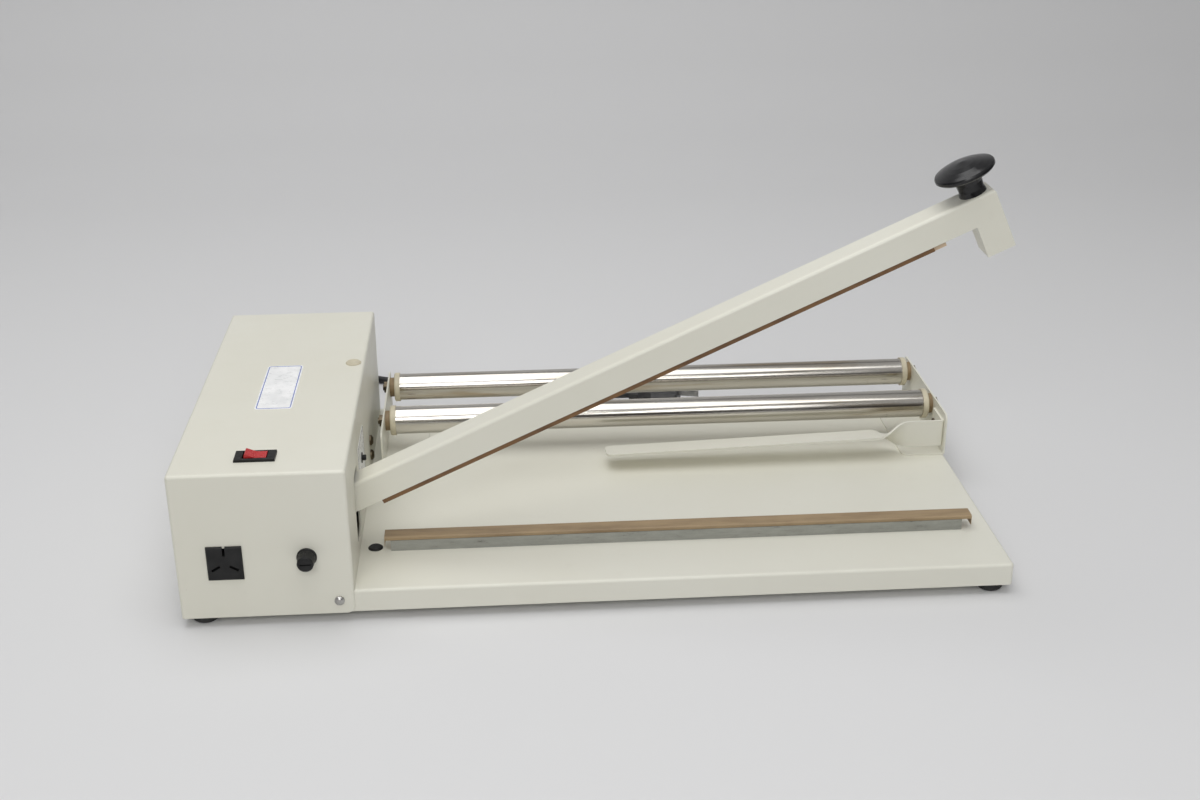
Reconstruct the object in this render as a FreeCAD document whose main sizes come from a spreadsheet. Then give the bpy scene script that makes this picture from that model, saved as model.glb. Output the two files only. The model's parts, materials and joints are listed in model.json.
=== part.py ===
import FreeCAD, Part
import math
import os

from FreeCAD import Placement, Rotation, Vector
import Sketcher

# Table-top film sealer: a sheet-metal base pan with a control box at its left
# end, a straight heated arm that swings down on a rubber-topped lower jaw, two
# free-running film rollers at the back and a twisted film separator.
#
# Frame: millimetres, +X to the right along the seal, +Y to the back, +Z up.
# The origin is on the table, under the middle of the machine.

os.makedirs("parts", exist_ok=True)
doc = FreeCAD.newDocument("film_sealer")
sheet = doc.addObject("Spreadsheet::Sheet", "Sizes")


# ---------------------------------------------------------------- sizes

class Size:
    """A length: its value, and the expression that binds it to the sheet."""

    def __init__(self, value, text):
        self.value = value
        self.text = text

    def __add__(self, other):
        other = as_size(other)
        return Size(self.value + other.value, "(" + self.text + " + " + other.text + ")")

    def __sub__(self, other):
        other = as_size(other)
        return Size(self.value - other.value, "(" + self.text + " - " + other.text + ")")

    def __mul__(self, other):
        other = as_size(other)
        return Size(self.value * other.value, "(" + self.text + " * " + other.text + ")")

    def __truediv__(self, other):
        other = as_size(other)
        return Size(self.value / other.value, "(" + self.text + " / " + other.text + ")")

    def __neg__(self):
        return Size(-self.value, "(0 - " + self.text + ")")

    __radd__ = __add__
    __rmul__ = __mul__

    def __rsub__(self, other):
        return as_size(other) - self


def as_size(number):
    if isinstance(number, Size):
        return number
    return Size(float(number), repr(float(number)))


row_of = {}


def size(alias, value, note):
    """Write one driving dimension to the sheet and return it as a Size."""
    row = len(row_of) + 1
    row_of[alias] = row
    sheet.set("A" + str(row), note)
    sheet.set("B" + str(row), str(value))
    sheet.setAlias("B" + str(row), alias)
    return Size(float(value), "Sizes." + alias)


# base pan
base_length = size("base_length", 643, "left face of the control box to right edge of the pan")
base_reach = size("base_reach", 346, "front face of the control box to rear edge of the pan")
base_height = size("base_height", 18.3, "height of the folded pan")
base_sheet = size("base_sheet", 1.5, "sheet of the pan")
base_bend = size("base_bend", 2.5, "outside bend of the pan")
base_corner = size("base_corner", 3, "vertical corners of the pan")
base_lip = size("base_lip", 24, "return lip under the front and rear edges")
foot_height = size("foot_height", 8, "rubber foot below the pan")
foot_radius = size("foot_radius", 10, "rubber foot at the table")
foot_taper = size("foot_taper", 1.5, "how much a foot narrows towards the pan")
foot_inset = size("foot_inset", 14, "foot axis in from the pan's edges")

# control box
cover_width = size("cover_width", 131, "control box, left to right")
cover_depth = size("cover_depth", 341, "control box, front to back")
cover_height = size("cover_height", 120, "pan's lower edge to the top of the box")
cover_sheet = size("cover_sheet", 1.2, "sheet of the cover")
cover_bend = size("cover_bend", 2.6, "outside bend of the cover")
cover_gap = size("cover_gap", 0.3, "fit of the cover over the pan")
cover_corner = size("cover_corner", 5, "rounded lower corner of the front flap")
slot_side = size("slot_side", 1.5, "room beside the arm in its slot")
slot_low = size("slot_low", 11.5, "bottom of the arm slot above the pan")
slot_high = size("slot_high", 68, "top of the arm slot above the pan")
slot_round = size("slot_round", 3, "corner radius of the arm slot")

# lower jaw
jaw_start = size("jaw_start", 155.7, "left end of the jaw from the box's left face")
jaw_length = size("jaw_length", 462, "aluminium channel of the jaw")
jaw_front = size("jaw_front", 60.8, "front of the jaw behind the box's front face")
jaw_width = size("jaw_width", 15, "channel width")
jaw_height = size("jaw_height", 9.1, "channel height")
jaw_wall = size("jaw_wall", 1, "channel wall")
rubber_rise = size("rubber_rise", 2.8, "silicone strip above the channel")
rubber_bevel = size("rubber_bevel", 0.8, "bevel of the strip's top edges")
tape_sheet = size("tape_sheet", 0.3, "PTFE tape")
tape_left = size("tape_left", 5, "tape past the left end of the jaw")
tape_right = size("tape_right", 8, "tape past the right end of the jaw")
tape_drop = size("tape_drop", 8.5, "end flap of the tape")

# heated arm
arm_width = size("arm_width", 25, "arm, front to back")
arm_height = size("arm_height", 22, "arm, top to open underside")
arm_sheet = size("arm_sheet", 1.5, "sheet of the arm")
arm_bend = size("arm_bend", 2.8, "outside bend of the arm")
arm_reach = size("arm_reach", 592, "pivot to the end of the arm")
arm_tail = size("arm_tail", 26, "arm behind the pivot")
arm_open = size("arm_open", 24.8, "angle of the raised arm")
leg_width = size("leg_width", 22, "hook at the arm's end, along the arm")
leg_drop = size("leg_drop", 26, "hook below the arm's underside")
pivot_place = size("pivot_place", 82.6, "pivot from the box's left face")
pivot_radius = size("pivot_radius", 4, "pivot pin")
running_fit = size("running_fit", 0.05, "radial clearance of a running fit")
seal_gap = size("seal_gap", 0.3, "heated bar above the tape when closed")
bar_start = size("bar_start", 70, "pivot to the heated bar")
bar_length = size("bar_length", 475, "bar that carries the heating wire")
bar_width = size("bar_width", 18, "heated bar, front to back")
bar_drop = size("bar_drop", 5, "tape under the heated bar below the arm's sides")
bar_height = size("bar_height", 10, "solid part of the heated bar")
bar_web = size("bar_web", 6, "web of the heated bar")
seal_length = size("seal_length", 465.5, "taped length of the heated bar")
wire_width = size("wire_width", 3, "heating ribbon")
wire_sheet = size("wire_sheet", 0.3, "thickness of the heating ribbon")
terminal_width = size("terminal_width", 12, "strip that holds the heating ribbon")
terminal_thick = size("terminal_thick", 2, "thickness of a terminal strip")
terminal_screw = size("terminal_screw", 2.6, "head of the terminal screw")
knob_place = size("knob_place", 578, "pivot to the knob")
knob_radius = size("knob_radius", 23, "mushroom cap")
knob_rim = size("knob_rim", 4.5, "thickness of the cap at its rim")
knob_dome = size("knob_dome", 5.5, "rise of the cap's dome")
stem_radius = size("stem_radius", 10.5, "stem at the arm")
stem_waist = size("stem_waist", 9.6, "stem below its flare")
stem_flare = size("stem_flare", 13, "stem under the cap")
stem_height = size("stem_height", 15, "arm to the underside of the cap")

# pivot stand inside the box
stand_gap = size("stand_gap", 1, "arm side to pivot stand")
stand_sheet = size("stand_sheet", 3, "plate of the pivot stand")
stand_length = size("stand_length", 52, "pivot stand along the arm")
stand_side = size("stand_side", 14, "flange of the pivot stand")
stand_head = size("stand_head", 9, "radius of the stand's ears")
spring_wire = size("spring_wire", 2, "wire of the return spring")
spring_turns = size("spring_turns", 7, "turns of the return spring")

# rollers
roller_length = size("roller_length", 480, "stainless tube")
roller_radius = size("roller_radius", 12.4, "outside of the tube")
roller_wall = size("roller_wall", 1, "wall of the tube")
roller_height = size("roller_height", 55.6, "roller axis above the table")
roller_front = size("roller_front", 250.2, "front roller behind the box's front face")
roller_pitch = size("roller_pitch", 77.4, "front roller to rear roller")
plug_flange = size("plug_flange", 5, "flange of a roller end plug")
plug_radius = size("plug_radius", 13.5, "rim of a roller end plug")
plug_depth = size("plug_depth", 14, "end plug inside the tube")
plug_chamfer = size("plug_chamfer", 0.8, "bevel of a plug's rim")
spacer_radius = size("spacer_radius", 9, "spacer beside a roller")
axle_radius = size("axle_radius", 3, "roller axle")
side_play = size("side_play", 0.3, "end play of a turning piece")
nut_flats = size("nut_flats", 10, "hexagon of the axle nuts")
nut_height = size("nut_height", 4, "thickness of the axle nuts")
axle_stub = size("axle_stub", 1.2, "axle thread past its nut")

# roller brackets
bracket_place = size("bracket_place", 142.5, "inner face of the left bracket from the box's left face")
bracket_front = size("bracket_front", 200, "front edge of the brackets behind the box's front face")
bracket_top = size("bracket_top", 39, "bracket above the pan")
bracket_sheet = size("bracket_sheet", 1.5, "sheet of the brackets")
bracket_foot = size("bracket_foot", 37, "foot of a bracket on the pan")
bracket_corner = size("bracket_corner", 6, "rounded corners of the brackets")
bracket_bend = size("bracket_bend", 2.2, "outside bend of the brackets")

# film separator
strip_width = size("strip_width", 24.5, "flat bar of the separator")
strip_sheet = size("strip_sheet", 2, "thickness of the bar")
strip_reach = size("strip_reach", 304, "bracket to the separator's tip")
strip_upright = size("strip_upright", 30, "upright stretch beside the bracket")
strip_twist = size("strip_twist", 33, "length of the quarter twist")
strip_tab = size("strip_tab", 29, "tab against the bracket")
strip_clear = size("strip_clear", 7.3, "upright stretch above the pan")
strip_lead = size("strip_lead", 4.6, "separator's front face behind the bracket's front edge")
strip_droop = size("strip_droop", 1.4, "fall of the separator towards its tip, degrees")
strip_skew = size("strip_skew", 0.8, "lean of the separator's tip to the front, degrees")
strip_screw = size("strip_screw", 24, "separator's screw behind its front face")
strip_lean = size("strip_lean", 83.5, "twist of the separator, degrees")
strip_tip = size("strip_tip", 6, "rounded corners of the tip")

# fittings of the control box
rocker_x = size("rocker_x", 62.4, "rocker switch from the box's left face")
rocker_y = size("rocker_y", 28.3, "rocker switch behind the box's front face")
bezel_length = size("bezel_length", 30.4, "bezel of the switch")
bezel_width = size("bezel_width", 16.4, "bezel of the switch")
bezel_rise = size("bezel_rise", 2.4, "bezel above the cover")
bezel_depth = size("bezel_depth", 20, "switch body in the box")
bezel_inset = size("bezel_inset", 1.6, "bezel past its cut-out")
rocker_length = size("rocker_length", 18, "red rocker, end to end of its swing")
rocker_width = size("rocker_width", 11.6, "red rocker")
rocker_tilt = size("rocker_tilt", 11, "rocker's throw to each side")
rocker_crest = size("rocker_crest", 4, "rocker's raised ends above its axis")
rocker_valley = size("rocker_valley", 2.45, "middle of the rocker above its axis")
rocker_room = size("rocker_room", 0.35, "room round the rocker")
socket_x = size("socket_x", 37, "mains socket from the box's left face")
socket_z = size("socket_z", 55, "mains socket above the table")
socket_width = size("socket_width", 26.6, "face of the socket")
socket_tall = size("socket_tall", 28, "face of the socket")
socket_rise = size("socket_rise", 2, "socket proud of the cover")
socket_bevel = size("socket_bevel", 1, "bevel of the socket's face")
socket_body = size("socket_body", 16, "socket body in the box")
pin_pitch = size("pin_pitch", 7.92, "live and neutral slots from the socket's centre")
earth_pitch = size("earth_pitch", 10.31, "earth slot from the socket's centre")
pin_long = size("pin_long", 7.4, "length of a socket slot")
pin_wide = size("pin_wide", 2, "width of a socket slot")
pin_deep = size("pin_deep", 10, "depth of a socket slot")
fuse_x = size("fuse_x", 97.7, "fuse holder from the box's left face")
fuse_z = size("fuse_z", 57.5, "fuse holder above the table")
fuse_ring = size("fuse_ring", 7.6, "collar of the fuse holder")
fuse_collar = size("fuse_collar", 2.2, "collar proud of the cover")
fuse_cap_base = size("fuse_cap_base", 6.9, "fuse cap at its skirt")
fuse_cap_face = size("fuse_cap_face", 6.2, "fuse cap at its face")
cap_reach = size("cap_reach", 12.5, "face of the fuse cap in front of the cover")
fuse_flutes = size("fuse_flutes", 12, "flutes round the fuse cap")
fuse_bore = size("fuse_bore", 4.4, "tube of the fuse holder")
cap_plug_x = size("cap_plug_x", 121.4, "cream hole plug from the box's left face")
cap_plug_y = size("cap_plug_y", 211.5, "cream hole plug behind the box's front face")
cap_plug_radius = size("cap_plug_radius", 6.6, "rim of the cream hole plug")
cap_plug_neck = size("cap_plug_neck", 5, "neck of the cream hole plug")
base_plug_x = size("base_plug_x", 143, "black plug in the pan from the box's left face")
base_plug_y = size("base_plug_y", 67, "black plug in the pan behind the box's front face")
base_plug_radius = size("base_plug_radius", 5.9, "rim of the black plug")
base_plug_neck = size("base_plug_neck", 4.6, "neck of the black plug")
plug_rise = size("plug_rise", 1.5, "hole plugs above their sheet")
plug_grip = size("plug_grip", 3, "hole plugs below their sheet")
timer_y = size("timer_y", 125, "timer spindle behind the box's front face")
timer_z = size("timer_z", 79, "timer spindle above the table")
timer_radius = size("timer_radius", 2.4, "timer spindle")
timer_reach = size("timer_reach", 3, "timer spindle proud of its nut")
timer_nut = size("timer_nut", 0.9, "round nut on the timer bush")
timer_case = size("timer_case", 11, "radius of the timer's case")
bolt_y = size("bolt_y", 208, "side bolts behind the box's front face")
bolt_z = size("bolt_z", 42.2, "lower side bolt above the table")
bolt_pitch = size("bolt_pitch", 14, "lower side bolt to upper")
bolt_head = size("bolt_head", 4.6, "head radius of the side bolts")
bolt_rise = size("bolt_rise", 3, "head height of the side bolts")
bolt_shank = size("bolt_shank", 2.5, "shank of the side bolts")
screw_head = size("screw_head", 3.8, "pan head of the cover screws")
screw_rise = size("screw_rise", 2.2, "height of a pan head")
screw_shank = size("screw_shank", 2, "shank of the cover screws")
screw_x = size("screw_x", 119.5, "front cover screw from the box's left face")
screw_z = size("screw_z", 19, "cover screws above the table")
core_length = size("core_length", 84, "transformer core")
core_width = size("core_width", 48, "transformer core stack")
core_height = size("core_height", 70, "transformer core")
core_place = size("core_place", 235, "transformer behind the box's front face")

# mains lead
cord_radius = size("cord_radius", 3.5, "mains lead")
gland_x = size("gland_x", 32, "strain relief from the box's left face")
gland_z = size("gland_z", 37, "strain relief above the table")
gland_length = size("gland_length", 26, "strain relief outside the box")
gland_radius = size("gland_radius", 6.2, "strain relief at the box")
gland_neck = size("gland_neck", 4.8, "strain relief in its hole")
coil_radius = size("coil_radius", 38.5, "middle of the coiled turns")
coil_band = size("coil_band", 14.5, "coil, across its turns")
coil_height = size("coil_height", 22, "coil, up through its turns")
coil_bevel = size("coil_bevel", 2.5, "bevel of the coil's edges")
coil_x = size("coil_x", 70.5, "coil from the box's left face")
coil_y = size("coil_y", 455, "coil behind the box's front face")

doc.recompute()

# ---------------------------------------------------------------- places

LEFT = -(base_length + nut_height + axle_stub - screw_rise) / 2
FRONT = (cap_reach - base_reach) / 2
PLATE = foot_height + base_height
WALL = LEFT + cover_width
TOP = foot_height + cover_height
REAR = FRONT + cover_depth
JAW_LEFT = LEFT + jaw_start
JAW_MID = FRONT + jaw_front + jaw_width / 2
JAW_TOP = PLATE + jaw_height + rubber_rise + tape_sheet
PIVOT_X = LEFT + pivot_place
PIVOT_Z = JAW_TOP + seal_gap + arm_height / 2 + bar_drop
BRACKET_L = LEFT + bracket_place
BRACKET_R = LEFT + base_length - bracket_sheet
BRACKET_Y = FRONT + bracket_front
ROLLER_Y = FRONT + roller_front
SPACER = (BRACKET_R - BRACKET_L - roller_length) / 2 - plug_flange - side_play
RAISED = Rotation(Vector(0, -1, 0), arm_open.value)


# ---------------------------------------------------------------- builders

made = {}


def keep(node, obj):
    """Register a finished sub-part: its label names its node and its file."""
    obj.Label = node
    made[node] = obj
    return obj


def place(obj, x, y, z, rotation=None):
    """Set an object's place from sizes, with an optional fixed turn."""
    base = Vector(as_size(x).value, as_size(y).value, as_size(z).value)
    obj.Placement = Placement(base, rotation or Rotation())
    for axis, value in (("x", x), ("y", y), ("z", z)):
        obj.setExpression("Placement.Base." + axis, as_size(value).text)
    return obj


def new_body(name):
    return doc.addObject("PartDesign::Body", name)


def origin_feature(body, role):
    for feature in body.Origin.OriginFeatures:
        if feature.Role == role:
            return feature
    raise ValueError("no origin feature " + role)


def sketch_on(body, plane, offset=None):
    sketch = body.newObject("Sketcher::SketchObject", body.Name + "_sketch")
    sketch.AttachmentSupport = [(origin_feature(body, plane), "")]
    sketch.MapMode = "FlatFace"
    if offset is not None:
        sketch.AttachmentOffset = Placement(Vector(0, 0, offset.value), Rotation())
        sketch.setExpression("AttachmentOffset.Base.z", offset.text)
    return sketch


def pin_point(sketch, geo, corner, x, y):
    """Tie one sketch point to its two coordinates."""
    for kind, value in (("DistanceX", as_size(x)), ("DistanceY", as_size(y))):
        index = sketch.addConstraint(
            Sketcher.Constraint(kind, -1, 1, geo, corner, value.value))
        sketch.setExpression("Constraints[" + str(index) + "]", value.text)


def add_outline(sketch, points):
    """A closed outline of straight lines through points given as sizes."""
    first = sketch.GeometryCount
    count = len(points)
    flat = [Vector(as_size(x).value, as_size(y).value, 0) for x, y in points]
    for i in range(count):
        sketch.addGeometry(Part.LineSegment(flat[i], flat[(i + 1) % count]))
    for i in range(count):
        after = first + (i + 1) % count
        sketch.addConstraint(Sketcher.Constraint("Coincident", first + i, 2, after, 1))
    for i, (x, y) in enumerate(points):
        pin_point(sketch, first + i, 1, x, y)


def add_rectangle(sketch, x0, y0, x1, y1):
    add_outline(sketch, [(x0, y0), (x1, y0), (x1, y1), (x0, y1)])


def add_circle(sketch, x, y, radius):
    centre = Vector(as_size(x).value, as_size(y).value, 0)
    radius = as_size(radius)
    geo = sketch.addGeometry(Part.Circle(centre, Vector(0, 0, 1), radius.value))
    pin_point(sketch, geo, 3, x, y)
    index = sketch.addConstraint(Sketcher.Constraint("Radius", geo, radius.value))
    sketch.setExpression("Constraints[" + str(index) + "]", radius.text)


def pad(body, sketch, length, reverse=False, middle=False):
    feature = body.newObject("PartDesign::Pad", body.Name + "_pad")
    feature.Profile = sketch
    feature.Length = as_size(length).value
    feature.setExpression("Length", as_size(length).text)
    feature.Reversed = reverse
    feature.Midplane = middle
    doc.recompute()
    return feature


def pocket(body, sketch, length=None, reverse=False, middle=False):
    """Cut a sketch out of the body, to a depth or right through it."""
    before = body.Shape.Volume
    feature = body.newObject("PartDesign::Pocket", body.Name + "_pocket")
    feature.Profile = sketch
    if length is None:
        feature.Type = "ThroughAll"
    else:
        feature.Length = as_size(length).value
        feature.setExpression("Length", as_size(length).text)
    feature.Reversed = reverse
    feature.Midplane = middle
    doc.recompute()
    if body.Shape.Volume > before - 0.01:
        raise ValueError("a pocket of " + body.Name + " cuts nothing")
    return feature


def revolve(body, sketch):
    """Turn a sketch of the body's XZ plane once round its own upright axis."""
    feature = body.newObject("PartDesign::Revolution", body.Name + "_revolution")
    feature.Profile = sketch
    feature.ReferenceAxis = (sketch, ["V_Axis"])
    feature.Angle = 360
    doc.recompute()
    return feature


def edges_where(body, test):
    """Names of the tip's edges whose middle point and edge satisfy a test."""
    names = []
    for number, edge in enumerate(body.Tip.Shape.Edges, 1):
        middle = edge.valueAt((edge.FirstParameter + edge.LastParameter) / 2)
        if test(edge, middle):
            names.append("Edge" + str(number))
    if not names:
        raise ValueError("no edge of " + body.Name + " fits")
    return names


def dress(body, kind, radius, names):
    """Fillet or chamfer the named edges of the body's tip."""
    tip = body.Tip
    feature = body.newObject("PartDesign::" + kind, body.Name + "_" + kind.lower())
    feature.Base = (tip, names)
    bound = "Radius" if kind == "Fillet" else "Size"
    setattr(feature, bound, as_size(radius).value)
    feature.setExpression(bound, as_size(radius).text)
    doc.recompute()
    return feature


def near(a, b):
    return abs(a - as_size(b).value) < 1e-3


def runs_along(edge, axis):
    """Whether an edge is straight and parallel to an axis."""
    if edge.Length < 1e-6 or len(edge.Vertexes) < 2:
        return False
    span = edge.Vertexes[1].Point - edge.Vertexes[0].Point
    return abs(span.Length - edge.Length) < 1e-7 and abs(abs(span.normalize().dot(axis)) - 1) < 1e-6


def circle_radius(edge):
    """The radius of a circular edge, or zero."""
    if len(edge.Vertexes) == 1 and edge.Length > 1e-6:
        return edge.Length / (2 * math.pi)
    return 0.0


X_AXIS = Vector(1, 0, 0)
Y_AXIS = Vector(0, 1, 0)
Z_AXIS = Vector(0, 0, 1)
# turns that lay a piece's own +Z axis along the machine's axes
ALONG_X = Rotation(Y_AXIS, 90)
AGAINST_X = Rotation(Y_AXIS, -90)
TO_FRONT = Rotation(X_AXIS, 90)
TO_BACK = Rotation(X_AXIS, -90)


def turned(name, profile, x, y, z, rotation=None):
    """A piece turned from a profile of (radius, height) points."""
    body = new_body(name)
    sketch = sketch_on(body, "XZ_Plane")
    add_outline(sketch, profile)
    revolve(body, sketch)
    place(body, x, y, z, rotation)
    return body


def tube_profile(inner, outer, low, high):
    return [(inner, low), (outer, low), (outer, high), (inner, high)]


def block(name, x0, x1, y0, y1, z0, z1):
    """A plain box between two corners, as a primitive bound to the sheet."""
    box = doc.addObject("Part::Box", name)
    spans = (("Length", x0, x1), ("Width", y0, y1), ("Height", z0, z1))
    for side, low, high in spans:
        span = as_size(high) - as_size(low)
        setattr(box, side, span.value)
        box.setExpression(side, span.text)
    return place(box, x0, y0, z0)


def rod(name, radius, length, x, y, z, rotation=None):
    """A plain cylinder, as a primitive bound to the sheet."""
    cylinder = doc.addObject("Part::Cylinder", name)
    cylinder.Radius = as_size(radius).value
    cylinder.setExpression("Radius", as_size(radius).text)
    cylinder.Height = as_size(length).value
    cylinder.setExpression("Height", as_size(length).text)
    return place(cylinder, x, y, z, rotation)


def union(name, parts):
    joined = doc.addObject("Part::MultiFuse", name)
    joined.Shapes = parts
    return joined


def minus(name, base, tools):
    tool = tools[0]
    if len(tools) > 1:
        tool = union(name + "_tools", tools)
    cut = doc.addObject("Part::Cut", name)
    cut.Base = base
    cut.Tool = tool
    return cut


def group(name, parts):
    """Several equal small pieces that share one node."""
    compound = doc.addObject("Part::Compound", name)
    compound.Links = parts
    return compound


def on_arm(obj, along, across=0, up=0, turn=None):
    """Place a piece in the raised arm's frame, whose origin is the pivot."""
    along = as_size(along)
    up = as_size(up)
    cosine = "cos(Sizes.arm_open * 1 deg)"
    sine = "sin(Sizes.arm_open * 1 deg)"
    shift = RAISED.multVec(Vector(along.value, 0, up.value))
    move_x = Size(shift.x, "(" + along.text + " * " + cosine + " - " + up.text + " * " + sine + ")")
    move_z = Size(shift.z, "(" + along.text + " * " + sine + " + " + up.text + " * " + cosine + ")")
    rotation = RAISED.multiply(turn) if turn else RAISED
    return place(obj, PIVOT_X + move_x, JAW_MID + as_size(across), PIVOT_Z + move_z, rotation)


# ---------------------------------------------------------------- base pan

def make_base_pan():
    """A folded pan, open below, with return lips that carry the feet."""
    body = new_body("base_pan")
    length = base_length - cover_sheet - cover_gap
    depth = base_reach - cover_sheet - cover_gap
    sketch = sketch_on(body, "XY_Plane")
    add_rectangle(sketch, 0, 0, length, depth)
    pad(body, sketch, base_height)
    dress(body, "Fillet", base_corner, edges_where(body, lambda e, m: runs_along(e, Z_AXIS)))
    dress(body, "Fillet", base_bend, edges_where(body, lambda e, m: near(m.z, base_height)))
    inside = sketch_on(body, "XY_Plane", base_sheet)
    add_rectangle(inside, base_sheet, base_sheet, length - base_sheet, depth - base_sheet)
    pocket(body, inside, base_height - base_sheet * 2, reverse=True)
    mouth = sketch_on(body, "XY_Plane")
    add_rectangle(mouth, base_sheet, base_lip, length - base_sheet, depth - base_lip)
    pocket(body, mouth, base_sheet * 2, reverse=True)
    hole = sketch_on(body, "XY_Plane", base_height)
    shift = cover_sheet + cover_gap
    add_circle(hole, base_plug_x - shift, base_plug_y - shift, base_plug_neck)
    pocket(body, hole, base_sheet * 2)
    place(body, LEFT + shift, FRONT + shift, foot_height)
    return keep("base_pan", body)


def make_feet():
    """Four rubber feet under the pan's corners, each with a screw recess."""
    inset = cover_sheet + cover_gap + foot_inset
    rows = (("front", FRONT + inset), ("rear", FRONT + base_reach - foot_inset))
    columns = (("left", LEFT + inset), ("right", LEFT + base_length - foot_inset))
    neck = foot_radius - foot_taper
    recess = foot_radius * 0.4
    for row, y in rows:
        for column, x in columns:
            node = "foot_" + row + "_" + column
            profile = [(0, foot_height / 2), (recess, foot_height / 2), (recess, 0),
                       (foot_radius - 1, 0), (foot_radius, 1), (neck, foot_height), (0, foot_height)]
            keep(node, turned(node, profile, x, y, 0))


# ---------------------------------------------------------------- control box

def make_cover():
    """The cover: five folded walls, cut away where it stands on the pan."""
    body = new_body("control_cover")
    sketch = sketch_on(body, "XY_Plane")
    add_rectangle(sketch, 0, 0, cover_width, cover_depth)
    pad(body, sketch, cover_height)
    dress(body, "Fillet", cover_bend, edges_where(
        body, lambda e, m: runs_along(e, Z_AXIS) or near(m.z, cover_height)))
    inside = sketch_on(body, "XY_Plane")
    add_rectangle(inside, cover_sheet, cover_sheet, cover_width - cover_sheet, cover_depth - cover_sheet)
    pocket(body, inside, cover_height - cover_sheet, reverse=True)
    stand = sketch_on(body, "XY_Plane")
    add_rectangle(stand, cover_sheet, cover_sheet, cover_width * 2, cover_depth * 2)
    pocket(body, stand, base_height + cover_gap, reverse=True)
    corner = sketch_on(body, "XZ_Plane")
    right = cover_width + 1
    add_outline(corner, [(cover_width - cover_corner, 0), (right, 0), (right, cover_corner),
                         (cover_width, cover_corner), (cover_width - cover_corner * 0.29, cover_corner * 0.29)])
    pocket(body, corner, cover_sheet * 2)
    cut_top_holes(body)
    cut_front_holes(body)
    cut_side_holes(body)
    cut_rear_hole(body)
    place(body, LEFT, FRONT, foot_height)
    return keep("control_cover", body)


def cut_top_holes(body):
    """Cut-outs for the rocker switch and the cream hole plug."""
    sketch = sketch_on(body, "XY_Plane", cover_height)
    half_x = bezel_length / 2 - bezel_inset
    half_y = bezel_width / 2 - bezel_inset
    add_rectangle(sketch, rocker_x - half_x, rocker_y - half_y, rocker_x + half_x, rocker_y + half_y)
    add_circle(sketch, cap_plug_x, cap_plug_y, cap_plug_neck)
    pocket(body, sketch, cover_sheet * 3)


def cut_front_holes(body):
    """Cut-outs for the mains socket and the fuse holder, and a screw hole."""
    sketch = sketch_on(body, "XZ_Plane")
    half_x = socket_width / 2 - bezel_inset
    half_z = socket_tall / 2 - bezel_inset
    low = socket_z - foot_height
    add_rectangle(sketch, socket_x - half_x, low - half_z, socket_x + half_x, low + half_z)
    add_circle(sketch, fuse_x, fuse_z - foot_height, fuse_bore + 0.9)
    add_circle(sketch, screw_x, screw_z - foot_height, screw_shank + running_fit)
    pocket(body, sketch, cover_sheet * 3)


def cut_side_holes(body):
    """The arm's slot, and holes for the timer bush and the side bolts."""
    sketch = sketch_on(body, "YZ_Plane", cover_width)
    mid = jaw_front + jaw_width / 2
    half = arm_width / 2 + slot_side
    add_rectangle(sketch, mid - half, base_height + slot_low, mid + half, base_height + slot_high)
    add_circle(sketch, timer_y, timer_z - foot_height, timer_radius + 1.2)
    add_circle(sketch, bolt_y, bolt_z - foot_height, bolt_shank + running_fit)
    add_circle(sketch, bolt_y, bolt_z + bolt_pitch - foot_height, bolt_shank + running_fit)
    pocket(body, sketch, cover_sheet * 3)
    low = (base_height + slot_low).value - 0.01
    high = (base_height + slot_high).value + 0.01
    dress(body, "Fillet", slot_round, edges_where(
        body, lambda e, m: runs_along(e, X_AXIS) and m.x > cover_width.value - 2
        and low <= m.z <= high and abs(m.y - mid.value) < half.value + 0.1))


def cut_rear_hole(body):
    """The hole of the strain relief in the rear wall."""
    sketch = sketch_on(body, "XZ_Plane", -cover_depth)
    add_circle(sketch, gland_x, gland_z - foot_height, gland_neck)
    pocket(body, sketch, cover_sheet * 3, reverse=True)


def make_cover_screws():
    """Pan-head screws: one in the front flap, two in the left wall."""
    profile = [(0, 0), (screw_head, 0), (screw_head, screw_rise / 2), (screw_head / 2, screw_rise),
               (0, screw_rise)]
    places = [(LEFT + screw_x, FRONT, TO_FRONT)]
    for y in (FRONT + cover_depth / 4, FRONT + cover_depth * 3 / 4):
        places.append((LEFT, y, AGAINST_X))
    screws = []
    for number, (x, y, turn) in enumerate(places, 1):
        name = "cover_screw_" + str(number)
        screws.append(turned(name, profile, x, y, screw_z, turn))
    return keep("cover_screws", group("cover_screws", screws))


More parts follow.
